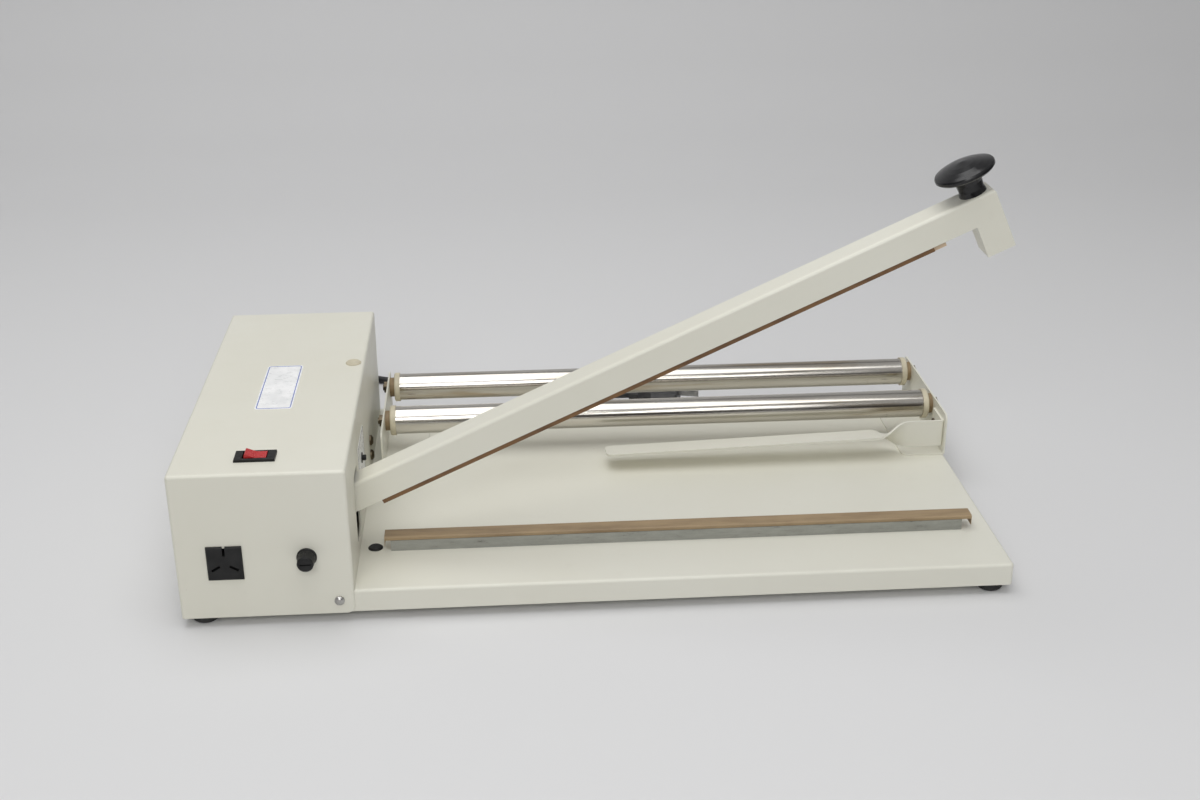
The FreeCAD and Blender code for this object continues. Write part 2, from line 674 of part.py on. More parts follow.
def make_rocker_switch():
    """A black bezel with its body, and the red V-shaped rocker in it."""
    body = new_body("rocker_bezel")
    plan = sketch_on(body, "XY_Plane")
    add_rectangle(plan, -bezel_length / 2, -bezel_width / 2, bezel_length / 2, bezel_width / 2)
    pad(body, plan, bezel_rise)
    dress(body, "Fillet", bezel_rise / 3, edges_where(body, lambda e, m: near(m.z, bezel_rise)))
    neck = sketch_on(body, "XY_Plane")
    half_x = bezel_length / 2 - bezel_inset - cover_gap
    half_y = bezel_width / 2 - bezel_inset - cover_gap
    add_rectangle(neck, -half_x, -half_y, half_x, half_y)
    pad(body, neck, bezel_depth, reverse=True)
    well = sketch_on(body, "XY_Plane", bezel_rise)
    well_x = rocker_length / 2 + rocker_room
    well_y = rocker_width / 2 + rocker_room
    add_rectangle(well, -well_x, -well_y, well_x, well_y)
    pocket(body, well, bezel_rise + bezel_depth / 2)
    place(body, LEFT + rocker_x, FRONT + rocker_y, TOP)
    keep("rocker_bezel", body)

    rocker = new_body("rocker_button")
    side = sketch_on(rocker, "XZ_Plane")
    reach = rocker_length * 0.45
    shape = [(-reach, -rocker_crest), (reach, -rocker_crest), (reach, rocker_crest), (0, rocker_valley),
             (-reach, rocker_crest)]
    cosine = math.cos(math.radians(rocker_tilt.value))
    sine = math.sin(math.radians(rocker_tilt.value))
    tilted = []
    for along, up in shape:
        along = as_size(along)
        tilted.append((along * cosine + up * sine, up * cosine - along * sine))
    add_outline(side, tilted)
    pad(rocker, side, rocker_width, middle=True)
    dress(rocker, "Fillet", 0.7, edges_where(
        rocker, lambda e, m: runs_along(e, Y_AXIS) and m.z > rocker_crest.value * 1.1))
    place(rocker, LEFT + rocker_x, FRONT + rocker_y, TOP)
    keep("rocker_button", rocker)


def make_socket():
    """A snap-in three-slot mains outlet in the front wall."""
    body = new_body("mains_socket")
    face = sketch_on(body, "XZ_Plane")
    add_rectangle(face, -socket_width / 2, -socket_tall / 2, socket_width / 2, socket_tall / 2)
    pad(body, face, socket_rise)
    dress(body, "Chamfer", socket_bevel, edges_where(body, lambda e, m: near(m.y, -socket_rise)))
    neck = sketch_on(body, "XZ_Plane")
    half_x = socket_width / 2 - bezel_inset - cover_gap
    half_z = socket_tall / 2 - bezel_inset - cover_gap
    add_rectangle(neck, -half_x, -half_z, half_x, half_z)
    pad(body, neck, socket_body, reverse=True)
    slots = sketch_on(body, "XZ_Plane", socket_rise)
    for angle, reach in ((90, earth_pitch), (210, pin_pitch), (330, pin_pitch)):
        add_slot(slots, angle, reach)
    pocket(body, slots, pin_deep)
    place(body, LEFT + socket_x, FRONT, socket_z)
    return keep("mains_socket", body)


def add_slot(sketch, angle, reach):
    """One blade slot of the outlet, lying along its radius from the centre."""
    cosine = math.cos(math.radians(angle))
    sine = math.sin(math.radians(angle))
    corners = []
    for along, across in ((-1, -1), (1, -1), (1, 1), (-1, 1)):
        radial = reach + pin_long / 2 * along
        side = pin_wide / 2 * across
        corners.append((radial * cosine - side * sine, radial * sine + side * cosine))
    add_outline(sketch, corners)


def make_fuse_holder():
    """The fuse holder's collar and tube, and its fluted screw cap."""
    skirt = fuse_collar + side_play
    holder = turned("fuse_holder", [
        (0, -socket_body), (fuse_bore, -socket_body), (fuse_bore, 0), (fuse_ring, 0),
        (fuse_ring, fuse_collar / 2), (fuse_ring - 0.6, fuse_collar), (0, fuse_collar)],
        LEFT + fuse_x, FRONT, fuse_z, TO_FRONT)
    keep("fuse_holder", holder)

    cap = new_body("fuse_cap")
    side = sketch_on(cap, "XZ_Plane")
    add_outline(side, [(0, skirt), (fuse_cap_base, skirt), (fuse_cap_base, skirt + 1.5),
                       (fuse_cap_face, cap_reach - 0.8), (fuse_cap_face - 0.8, cap_reach), (0, cap_reach)])
    revolve(cap, side)
    flute = sketch_on(cap, "XY_Plane", cap_reach)
    add_circle(flute, fuse_cap_base + 0.5, 0, 0.9)
    cut = pocket(cap, flute, cap_reach - skirt - 2)
    pattern = cap.newObject("PartDesign::PolarPattern", "fuse_cap_flutes")
    pattern.Originals = [cut]
    pattern.Axis = (side, ["V_Axis"])
    pattern.Angle = 360
    pattern.Occurrences = int(fuse_flutes.value)
    pattern.setExpression("Occurrences", fuse_flutes.text)
    cap.Tip = pattern
    doc.recompute()
    slot = sketch_on(cap, "XY_Plane", cap_reach)
    add_rectangle(slot, -fuse_cap_face * 0.7, -0.7, fuse_cap_face * 0.7, 0.7)
    pocket(cap, slot, 1)
    place(cap, LEFT + fuse_x, FRONT, fuse_z, TO_FRONT)
    keep("fuse_cap", cap)


def hole_plug(node, rim, neck, sheet_size, x, y, z):
    """A domed snap-in plug that closes a round hole in a sheet."""
    groove = neck - running_fit
    profile = [(0, -sheet_size - plug_grip), (groove - 1, -sheet_size - plug_grip),
               (groove, -sheet_size - plug_grip / 2), (groove, 0), (rim, 0), (rim, plug_rise / 3),
               (rim - 1.2, plug_rise), (0, plug_rise * 0.8)]
    return keep(node, turned(node, profile, x, y, z))


def make_hole_plugs():
    hole_plug("cover_hole_plug", cap_plug_radius, cap_plug_neck, cover_sheet,
              LEFT + cap_plug_x, FRONT + cap_plug_y, TOP)
    hole_plug("base_hole_plug", base_plug_radius, base_plug_neck, base_sheet,
              LEFT + base_plug_x, FRONT + base_plug_y, PLATE)


def make_timer():
    """The timer: its case and bush in the side wall, and its slotted spindle."""
    bush = timer_radius + 1.1
    bore = timer_radius + running_fit
    case = turned("timer_body", [
        (0, -cover_sheet - 14), (timer_case, -cover_sheet - 14), (timer_case, -cover_sheet),
        (bush, -cover_sheet), (bush, 0), (bush + 0.9, 0), (bush + 0.9, timer_nut), (bore, timer_nut),
        (bore, -cover_sheet - 8), (0, -cover_sheet - 8)],
        WALL, FRONT + timer_y, timer_z, ALONG_X)
    keep("timer_body", case)

    spindle = new_body("timer_spindle")
    side = sketch_on(spindle, "XZ_Plane")
    tip = timer_nut + timer_reach
    add_outline(side, [(0, -cover_sheet - 7.5), (timer_radius, -cover_sheet - 7.5),
                       (timer_radius, tip - 0.4), (timer_radius - 0.4, tip), (0, tip)])
    revolve(spindle, side)
    slot = sketch_on(spindle, "XY_Plane", tip)
    add_rectangle(slot, -timer_radius * 2, -0.5, timer_radius * 2, 0.5)
    pocket(spindle, slot, 1.2)
    place(spindle, WALL, FRONT + timer_y, timer_z, ALONG_X)
    keep("timer_spindle", spindle)


def make_side_bolts():
    """Two round-headed bolts low in the right wall, with their shanks."""
    profile = [(0, -cover_sheet - 8), (bolt_shank, -cover_sheet - 8), (bolt_shank, 0), (bolt_head, 0),
               (bolt_head, bolt_rise / 2), (bolt_head * 0.6, bolt_rise), (0, bolt_rise)]
    bolts = []
    for number, z in enumerate((bolt_z, bolt_z + bolt_pitch), 1):
        bolts.append(turned("side_bolt_" + str(number), profile, WALL, FRONT + bolt_y, z, ALONG_X))
    return keep("side_bolts", group("side_bolts", bolts))


def make_transformer():
    """Mains transformer on the pan, inside the box: laminated core, winding."""
    x_mid = LEFT + cover_width / 2
    y_mid = FRONT + core_place
    leg = core_length / 6
    x0 = x_mid - core_length / 2
    x1 = x_mid + core_length / 2
    y0 = y_mid - core_width / 2
    y1 = y_mid + core_width / 2
    z1 = PLATE + core_height
    whole = block("core_block", x0, x1, y0, y1, PLATE, z1)
    windows = []
    for number, start in enumerate((x0 + leg, x_mid + leg), 1):
        windows.append(block("core_window_" + str(number), start, start + leg, y0 - 1, y1 + 1,
                             PLATE + leg, z1 - leg))
    keep("transformer_core", minus("transformer_core", whole, windows))

    gap = 0.5
    swell = leg - gap
    outer = block("winding_block", x_mid - leg - swell, x_mid + leg + swell, y0 - swell, y1 + swell,
                  PLATE + leg + gap, z1 - leg - gap)
    inner = block("winding_hole", x_mid - leg - gap, x_mid + leg + gap, y0 - gap, y1 + gap,
                  PLATE, z1)
    keep("transformer_winding", minus("transformer_winding", outer, [inner]))


# ---------------------------------------------------------------- lower jaw

def make_jaw():
    """Aluminium channel, silicone strip in it, and the PTFE tape over it."""
    channel = new_body("jaw_channel")
    section = sketch_on(channel, "YZ_Plane")
    half = jaw_width / 2
    inner = half - jaw_wall
    add_outline(section, [(-half, 0), (half, 0), (half, jaw_height), (inner, jaw_height),
                          (inner, jaw_wall), (-inner, jaw_wall), (-inner, jaw_height), (-half, jaw_height)])
    pad(channel, section, jaw_length)
    place(channel, JAW_LEFT, JAW_MID, PLATE)
    keep("jaw_channel", channel)

    strip = new_body("jaw_rubber")
    section = sketch_on(strip, "YZ_Plane")
    crest = jaw_height + rubber_rise
    add_rectangle(section, -inner, jaw_wall, inner, crest)
    pad(strip, section, jaw_length)
    dress(strip, "Chamfer", rubber_bevel, edges_where(
        strip, lambda e, m: runs_along(e, X_AXIS) and near(m.z, crest)))
    place(strip, JAW_LEFT, JAW_MID, PLATE)
    keep("jaw_rubber", strip)

    tape = new_body("jaw_tape")
    side = sketch_on(tape, "XZ_Plane")
    skin = crest + tape_sheet
    start = -tape_left
    end = jaw_length + tape_right
    low = skin - tape_drop
    add_outline(side, [
        (start, low), (start, skin), (end, skin), (end, low), (end - tape_sheet, low),
        (end - tape_sheet, jaw_height), (start + tape_sheet, jaw_height), (start + tape_sheet, low)])
    pad(tape, side, inner * 2 + tape_sheet * 2, middle=True)
    dress(tape, "Chamfer", rubber_bevel + tape_sheet * 0.6, edges_where(
        tape, lambda e, m: runs_along(e, X_AXIS) and near(m.z, skin)))
    hollow = sketch_on(tape, "YZ_Plane", start + tape_sheet)
    cut = inner - rubber_bevel
    add_outline(hollow, [(-inner, jaw_height - 1), (-inner, crest - rubber_bevel), (-cut, crest),
                         (cut, crest), (inner, crest - rubber_bevel), (inner, jaw_height - 1)])
    pocket(tape, hollow, end - start - tape_sheet * 2, reverse=True)
    place(tape, JAW_LEFT, JAW_MID, PLATE)
    keep("jaw_tape", tape)


# ---------------------------------------------------------------- heated arm

def make_arm_channel():
    """The arm: an inverted channel that ends in a hollow downward hook."""
    body = new_body("arm_channel")
    half = arm_height / 2
    inner = half - arm_sheet
    knee = arm_reach - leg_width
    toe = half + leg_drop
    side = sketch_on(body, "XZ_Plane")
    add_outline(side, [(-arm_tail, half), (-arm_tail, -half), (knee, -half), (knee, -toe),
                       (arm_reach, -toe), (arm_reach, half)])
    pad(body, side, arm_width, middle=True)
    dress(body, "Fillet", arm_bend, edges_where(
        body, lambda e, m: near(m.z, half) and (runs_along(e, X_AXIS) or near(m.x, arm_reach))))
    hollow = sketch_on(body, "XZ_Plane")
    add_outline(hollow, [
        (-arm_tail - 1, inner), (-arm_tail - 1, -half - 1), (knee - 0.2, -half - 1),
        (knee - 0.2, -half), (knee + arm_sheet, -half), (knee + arm_sheet, arm_sheet - toe),
        (arm_reach - arm_sheet, arm_sheet - toe), (arm_reach - arm_sheet, inner)])
    pocket(body, hollow, arm_width - arm_sheet * 2, middle=True)
    bore = sketch_on(body, "XZ_Plane")
    add_circle(bore, 0, 0, pivot_radius + running_fit)
    pocket(body, bore, arm_width * 2, middle=True)
    on_arm(body, 0)
    return keep("arm_channel", body)


def make_heated_bar():
    """T-section bar inside the arm, the heating ribbon under it, and its tape."""
    half = arm_height / 2
    base = -half - bar_drop + tape_sheet + wire_sheet
    roof = half - arm_sheet
    bar = new_body("heater_bar")
    section = sketch_on(bar, "YZ_Plane")
    add_outline(section, [
        (-bar_width / 2, base), (bar_width / 2, base), (bar_width / 2, base + bar_height),
        (bar_web / 2, base + bar_height), (bar_web / 2, roof), (-bar_web / 2, roof),
        (-bar_web / 2, base + bar_height), (-bar_width / 2, base + bar_height)])
    pad(bar, section, bar_length)
    on_arm(bar, bar_start)
    keep("heater_bar", bar)

    keep("heating_ribbon", arm_block(
        "heating_ribbon", bar_start, bar_start + bar_length, wire_width, base - wire_sheet, base))

    tape = new_body("heater_tape")
    section = sketch_on(tape, "YZ_Plane")
    low = base - wire_sheet
    wrap = base + bar_height / 2
    out = bar_width / 2 + tape_sheet
    lip = bar_width / 2
    ridge = wire_width / 2
    add_outline(section, [
        (-out, wrap), (-out, base - tape_sheet), (-ridge - 1, low - tape_sheet), (ridge + 1, low - tape_sheet),
        (out, base - tape_sheet), (out, wrap), (lip, wrap), (lip, base), (ridge, base), (ridge, low),
        (-ridge, low), (-ridge, base), (-lip, base), (-lip, wrap)])
    pad(tape, section, seal_length)
    on_arm(tape, bar_start)
    keep("heater_tape", tape)
    return base


def arm_block(name, start, end, width, low, high):
    """A box in the arm's frame, centred across the arm."""
    box = doc.addObject("Part::Box", name)
    for side, span in (("Length", end - start), ("Width", width), ("Height", high - low)):
        setattr(box, side, span.value)
        box.setExpression(side, span.text)
    return on_arm(box, start, -width / 2, low)


def make_terminals(base):
    """Steel strips and a screw that hold the ends of the heating ribbon."""
    knee = arm_reach - leg_width
    bar_end = bar_start + bar_length
    high = base + bar_height / 2
    low = high - terminal_thick
    strip = arm_block("terminal_strip", bar_end, knee, terminal_width, low, high)
    head = rod("terminal_head", terminal_screw, terminal_thick, 0, 0, 0)
    on_arm(head, (bar_end + knee) / 2 - terminal_screw, 0, low - terminal_thick)
    keep("terminal_right", union("terminal_right", [strip, head]))
    keep("terminal_left", arm_block(
        "terminal_left", bar_start - terminal_width, bar_start, terminal_width, low, high))


def make_knob():
    """Mushroom knob on the arm's end: waisted stem, domed cap."""
    body = new_body("arm_knob")
    side = sketch_on(body, "XZ_Plane")
    rim_low = stem_height + 1.4
    rim_high = rim_low + knob_rim
    crown = rim_high + knob_dome
    outline = [(0, 0), (stem_radius, 0)]
    for share in (0.25, 0.6, 0.85, 1.0):
        swell = (stem_flare - stem_waist) * share ** 4
        outline.append((stem_waist + swell, stem_height * share))
    bevel = knob_rim * 0.3
    outline += [(knob_radius - bevel, rim_low), (knob_radius, rim_low + bevel),
                (knob_radius, rim_high - bevel)]
    for share in (0.97, 0.85, 0.65, 0.42, 0.2):
        outline.append((knob_radius * share, rim_high - bevel * 0.4 + knob_dome * (1 - share ** 2)))
    outline.append((0, crown))
    add_outline(side, outline)
    revolve(body, side)
    on_arm(body, knob_place, 0, arm_height / 2)
    return keep("arm_knob", body)


# ---------------------------------------------------------------- pivot

def make_pivot():
    """The stand that carries the arm's pin, the pin, and the return spring."""
    ear = arm_width / 2 + stand_gap
    rise = PIVOT_Z - PLATE
    body = new_body("pivot_stand")
    plan = sketch_on(body, "XY_Plane")
    half_x = stand_length / 2
    half_y = ear + stand_sheet + stand_side
    add_rectangle(plan, -half_x, -half_y, half_x, half_y)
    pad(body, plan, stand_sheet)
    for front in (-1, 1):
        level = ear * front if front > 0 else -ear - stand_sheet
        sketch = sketch_on(body, "XZ_Plane", -level)
        add_outline(sketch, [
            (-half_x + 4, stand_sheet), (half_x - 4, stand_sheet), (stand_head, rise + stand_head * 0.5),
            (stand_head * 0.5, rise + stand_head), (-stand_head * 0.5, rise + stand_head),
            (-stand_head, rise + stand_head * 0.5)])
        pad(body, sketch, stand_sheet, reverse=True)
    bore = sketch_on(body, "XZ_Plane")
    add_circle(bore, 0, rise, pivot_radius)
    pocket(body, bore, half_y * 4, middle=True)
    place(body, PIVOT_X, JAW_MID, PLATE)
    keep("pivot_stand", body)

    length = (ear + stand_sheet) * 2
    head = 2.5
    pin = turned("pivot_pin", [
        (0, -head), (pivot_radius + 2.5, -head), (pivot_radius + 2.5, 0), (pivot_radius, 0),
        (pivot_radius, length + 2), (0, length + 2)],
        PIVOT_X, JAW_MID - length / 2, PIVOT_Z, TO_BACK)
    keep("pivot_pin", pin)
    make_spring()


def make_spring():
    """Return spring on the pin: close turns as ridges, and a leg to the stand."""
    inner = pivot_radius
    crest = pivot_radius + spring_wire
    valley = pivot_radius + spring_wire * 0.6
    count = int(spring_turns.value)
    profile = []
    for turn in range(count):
        low = spring_wire * (turn - count / 2)
        profile += [(valley, low), (crest, low + spring_wire * 0.3), (crest, low + spring_wire * 0.7)]
    top = spring_wire * (count / 2)
    profile += [(valley, top), (inner, top), (inner, -top)]
    turns = turned("spring_turns_body", profile, PIVOT_X, JAW_MID, PIVOT_Z, TO_BACK)
    floor = PLATE + stand_sheet
    leg = rod("spring_leg", spring_wire / 2, PIVOT_Z - floor,
              PIVOT_X - inner - spring_wire / 2, JAW_MID, floor)
    keep("return_spring", union("return_spring", [turns, leg]))


# ---------------------------------------------------------------- rollers

def make_roller(row, y):
    """One roller: axle with nuts, spacers, end plugs and stainless tube."""
    left = BRACKET_L
    right = BRACKET_R
    tube_left = left + SPACER + side_play + plug_flange
    outside = bracket_sheet + nut_height + axle_stub
    shaft = rod("axle_shaft_" + row, axle_radius, right - left + outside * 2, left - outside, y,
                roller_height, ALONG_X)
    nuts = []
    for end, x in (("left", left - bracket_sheet - nut_height), ("right", right + bracket_sheet)):
        prism = doc.addObject("Part::Prism", "axle_nut_" + row + "_" + end)
        prism.Polygon = 6
        across = nut_flats / (2 * math.cos(math.radians(30)))
        prism.Circumradius = across.value
        prism.setExpression("Circumradius", across.text)
        prism.Height = nut_height.value
        prism.setExpression("Height", nut_height.text)
        nuts.append(place(prism, x, y, roller_height, ALONG_X))
    keep("axle_" + row, union("axle_" + row, [shaft] + nuts))

    tube = turned("roller_tube_" + row,
                  tube_profile(roller_radius - roller_wall, roller_radius, 0, roller_length),
                  tube_left, y, roller_height, ALONG_X)
    keep("roller_tube_" + row, tube)

    bore = axle_radius + running_fit
    snug = roller_radius - roller_wall
    plug = [(bore, -plug_depth), (snug, -plug_depth), (snug, 0), (plug_radius, 0),
            (plug_radius, plug_flange - plug_chamfer), (plug_radius - plug_chamfer, plug_flange),
            (bore, plug_flange)]
    spacer = tube_profile(axle_radius, spacer_radius, 0, SPACER)
    for end, plug_x, spacer_x, turn in (
            ("left", tube_left, left + SPACER, AGAINST_X),
            ("right", tube_left + roller_length, right - SPACER, ALONG_X)):
        node = "end_plug_" + row + "_" + end
        keep(node, turned(node, plug, plug_x, y, roller_height, turn))
        node = "spacer_" + row + "_" + end
        keep(node, turned(node, spacer, spacer_x, y, roller_height, turn))


def make_bracket(end):
    """A folded bracket: upright wall with the axle holes, foot on the pan."""
    body = new_body("roller_bracket_" + end)
    inward = 1 if end == "left" else -1
    depth = base_reach - bracket_front
    section = sketch_on(body, "XZ_Plane")
    sheet_x = bracket_sheet * inward
    add_outline(section, [(-sheet_x, 0), (bracket_foot * inward, 0), (bracket_foot * inward, bracket_sheet),
                          (0, bracket_sheet), (0, bracket_top), (-sheet_x, bracket_top)])
    pad(body, section, depth, reverse=True)
    dress(body, "Fillet", bracket_bend, edges_where(
        body, lambda e, m: runs_along(e, Y_AXIS) and near(m.z, 0) and near(m.x, -sheet_x)))
    tip_x = (bracket_foot * inward).value
    dress(body, "Fillet", bracket_corner, edges_where(
        body, lambda e, m: (runs_along(e, X_AXIS) and near(m.z, bracket_top))
        or (runs_along(e, Z_AXIS) and near(m.x, tip_x))))
    holes = sketch_on(body, "YZ_Plane")
    for y in (roller_front, roller_front + roller_pitch):
        add_circle(holes, y - bracket_front, roller_height - PLATE, axle_radius + running_fit)
    add_circle(holes, strip_lead + strip_screw, strip_clear + strip_width / 2, screw_shank)
    pocket(body, holes, bracket_sheet * 4, middle=True)
    place(body, BRACKET_L if end == "left" else BRACKET_R, BRACKET_Y, PLATE)
    return keep("roller_bracket_" + end, body)


def make_bracket_screws():
    """Pan-head screws through the bracket feet into the pan."""
    profile = [(0, 0), (screw_head, 0), (screw_head, screw_rise / 2), (screw_head / 2, screw_rise),
               (0, screw_rise)]
    middle = bracket_foot / 2
    screws = []
    for x in (BRACKET_L + middle, BRACKET_R - middle):
        for y in (ROLLER_Y + roller_pitch * 0.56, ROLLER_Y + roller_pitch):
            name = "bracket_screw_" + str(len(screws) + 1)
            screws.append(turned(name, profile, x, y, PLATE + bracket_sheet))
    return keep("bracket_screws", group("bracket_screws", screws))


# ---------------------------------------------------------------- separator

def strip_section(x, lean):
    """The bar's rectangular section, turned about its own length."""
    half_w = strip_width.value / 2
    half_t = strip_sheet.value / 2
    turn = Rotation(X_AXIS, lean)
    corners = [turn.multVec(Vector(0, a * half_w, b * half_t)) + Vector(x, 0, 0)
               for a, b in ((-1, -1), (1, -1), (1, 1), (-1, 1))]
    return Part.makePolygon(corners + [corners[0]])


def make_separator():
    """Flat bar with a quarter twist and a tab bent back against the bracket."""
    upright = strip_upright.value
    twist = strip_twist.value
    reach = strip_reach.value
    half_t = strip_sheet.value / 2
    half_w = strip_width.value / 2
    steps = 12
    sections = []
    for step in range(steps + 1):
        part = step / steps
        smooth = part * part * (3 - 2 * part)
        sections.append(strip_section(-upright - twist * part, 90 + strip_lean.value * smooth))
    twisted = Part.makeLoft(sections, True, False)

    flat = Part.makeBox(reach - upright - twist + half_t, strip_width.value, strip_sheet.value,
                        Vector(-reach, -half_w, -half_t))
    corners = [edge for edge in flat.Edges
               if runs_along(edge, Z_AXIS) and edge.Vertexes[0].Point.x < 1 - reach]
    flat = flat.makeFillet(strip_tip.value, corners)
    joint = Vector(-upright - twist, 0, 0)
    flat.rotate(joint, X_AXIS, strip_lean.value - 90)
    flat.rotate(joint, Y_AXIS, -strip_droop.value)
    flat.rotate(joint, Z_AXIS, strip_skew.value)

    upright_bar = Part.makeBox(upright, strip_sheet.value, strip_width.value,
                               Vector(-upright, -half_t, -half_w))
    tab = Part.makeBox(strip_sheet.value, strip_tab.value, strip_width.value,
                       Vector(-strip_sheet.value, -half_t, -half_w))
    bar = upright_bar.fuse([tab, twisted, flat]).removeSplitter()
    bend = [edge for edge in bar.Edges if runs_along(edge, Z_AXIS)
            and abs(edge.Vertexes[0].Point.x) < 1e-6 and edge.Vertexes[0].Point.y < 0]
    bar = bar.makeFillet(strip_sheet.value, bend)
    hole = Part.makeCylinder(screw_shank.value, strip_sheet.value * 4,
                             Vector(-strip_sheet.value * 2, strip_screw.value - half_t, 0), X_AXIS)
    bar = bar.cut(hole)
    strip = doc.addObject("Part::Feature", "separator_strip")
    strip.Shape = bar
    front = (BRACKET_Y + strip_lead).value + half_t
    strip.Placement = Placement(
        Vector(BRACKET_R.value, front, (PLATE + strip_clear).value + half_w), Rotation())
    keep("separator_strip", strip)

    screw = turned("separator_screw", [
        (0, -bracket_sheet - 2), (screw_shank, -bracket_sheet - 2), (screw_shank, 0),
        (screw_shank, strip_sheet), (screw_head, strip_sheet), (screw_head, strip_sheet + screw_rise / 2),
        (screw_head / 2, strip_sheet + screw_rise), (0, strip_sheet + screw_rise)],
        BRACKET_R, BRACKET_Y + strip_lead + strip_screw, PLATE + strip_clear + strip_width / 2,
        AGAINST_X)
    keep("separator_screw", screw)


# ---------------------------------------------------------------- mains lead

def rounded_route(points):
    """Straight runs joined by tangent arcs as large as the runs allow."""
    edges = []
    radii = []
    start = points[0]
    for before, corner, after in zip(points, points[1:], points[2:]):
        to_corner = (corner - before)
        from_corner = (after - corner)
        shorter = min(to_corner.Length, from_corner.Length)
        incoming = Vector(to_corner).normalize()
        outgoing = Vector(from_corner).normalize()
        turn = incoming.getAngle(outgoing)
        cut = 0.45 * shorter
        radius = cut / math.tan(turn / 2)
        radii.append(radius)
        first = corner - incoming * cut
        last = corner + outgoing * cut
        toward = (outgoing - incoming).normalize()
        middle = corner + toward * (radius / math.cos(turn / 2) - radius)
        edges.append(Part.LineSegment(start, first).toShape())
        edges.append(Part.Arc(first, middle, last).toShape())
        start = last
    edges.append(Part.LineSegment(start, points[-1]).toShape())
    return Part.Wire(edges), radii


def make_tube(node, points):
    """A stretch of the lead along a route, as one solid."""
    path, radii = rounded_route(points)
    heading = (points[1] - points[0]).normalize()
    ring = Part.Wire([Part.Circle(points[0], heading, cord_radius.value).toShape()])
    shape = path.makePipeShell([ring], True, False)
    section = math.pi * cord_radius.value ** 2
    drift = shape.Volume / (section * path.Length)
    print(node, "length %.1f" % path.Length, "volume share %.4f" % drift,
          "radii", " ".join("%.0f" % r for r in radii))
    tube = doc.addObject("Part::Feature", node)
    tube.Shape = shape
    return keep(node, tube)


def from_corner(x, y, z):
    """A point given from the box's front left corner and the table."""
    return Vector(LEFT.value + x, FRONT.value + y, z)


def make_lead():
    """Strain relief, coiled mains lead behind the box, and its plug."""
    relief = turned("strain_relief", [
        (0, -cover_sheet - 6), (gland_neck + 1, -cover_sheet - 6), (gland_neck + 1, -cover_sheet),
        (gland_neck - running_fit, -cover_sheet), (gland_neck - running_fit, 0), (gland_radius, 0),
        (gland_radius, 3), (gland_radius - 1.2, 4), (cord_radius + 0.6, gland_length), (0, gland_length)],
        LEFT + gland_x, REAR, gland_z, TO_BACK)
    keep("strain_relief", relief)

    x = gland_x.value
    lie = cord_radius.value
    exit_y = cover_depth.value + gland_length.value
    level = gland_z.value
    tail = [
        from_corner(x, exit_y, level),
        from_corner(x, exit_y + 19, level),
        from_corner(x, exit_y + 39, level - 9),
        from_corner(x, exit_y + 58, level - 21.5),
        from_corner(x, exit_y + 76, level - 26),
    ]
    make_tube("lead_tail", tail)

    inner = coil_radius - coil_band / 2
    outer = coil_radius + coil_band / 2
    coil = new_body("lead_coil")
    side = sketch_on(coil, "XZ_Plane")
    add_outline(side, [
        (inner + coil_bevel, 0), (outer - coil_bevel, 0), (outer, coil_bevel),
        (outer, coil_height - coil_bevel), (outer - coil_bevel, coil_height),
        (inner + coil_bevel, coil_height), (inner, coil_height - coil_bevel), (inner, coil_bevel)])
    revolve(coil, side)
    place(coil, LEFT + coil_x, FRONT + coil_y, 0)
    keep("lead_coil", coil)

    behind = cover_depth.value
    run = [
        from_corner(90, behind + 147.5, lie),
        from_corner(124, behind + 129, lie),
        from_corner(163, behind + 120, lie),
        from_corner(206, behind + 120, lie),
        from_corner(248, behind + 115, lie),
        from_corner(288, behind + 102, lie),
        from_corner(322, behind + 84, lie),
        from_corner(351, behind + 67, lie + 2),
        from_corner(377, behind + 60, lie + 5),
    ]
    make_tube("lead_run", run)
    make_plug(run[-1], (run[-1] - run[-2]).normalize())


def make_plug(tail, heading):
    """Moulded three-pin mains plug lying on the table, and its pins."""
    flat = Vector(heading.x, heading.y, 0).normalize()
    turn = Rotation(X_AXIS, flat)
    height = tail.z
    grip = 16
    body_long = 34
    wide = 33
    thick = 17
    neck = []
    for along, half_y, half_z in ((0, 4.6, 4.4), (grip * 0.6, 6.5, 5.5), (grip, 12, 7.5), (grip + 8, wide / 2, thick / 2),
                                  (grip + body_long - 2, wide / 2, thick / 2), (grip + body_long, wide / 2 - 1, thick / 2 - 1)):
        neck.append(plug_section(along, half_y, half_z))
    shell = Part.makeLoft(neck, True, True)
    plug = doc.addObject("Part::Feature", "mains_plug")
    plug.Shape = shell
    plug.Placement = Placement(Vector(tail.x, tail.y, height), turn)
    keep("mains_plug", plug)

    pins = []
    for angle, reach, length in ((90, earth_pitch.value, 20), (210, pin_pitch.value, 17), (330, pin_pitch.value, 17)):
        blade = Part.makeBox(length, 6.3, 1.6, Vector(grip + body_long, -3.15, -0.8))
        blade.rotate(Vector(0, 0, 0), X_AXIS, 90 + angle - 90)
        radial = Rotation(X_AXIS, angle - 90).multVec(Vector(0, 0, reach * 0.62))
        blade.translate(radial)
        pins.append(blade)
    blades = doc.addObject("Part::Feature", "plug_pins")
    blades.Shape = Part.makeCompound(pins)
    blades.Placement = plug.Placement
    keep("plug_pins", blades)


def plug_section(along, half_y, half_z):
    """One bevelled section across the plug."""
    bevel = min(half_y, half_z) * 0.45
    corners = []
    for side_y, side_z, first in ((1, 1, True), (-1, 1, False), (-1, -1, True), (1, -1, False)):
        upright = Vector(along, side_y * half_y, side_z * (half_z - bevel))
        level = Vector(along, side_y * (half_y - bevel), side_z * half_z)
        corners += [upright, level] if first else [level, upright]
    return Part.makePolygon(corners + [corners[0]])


# ---------------------------------------------------------------- assembly

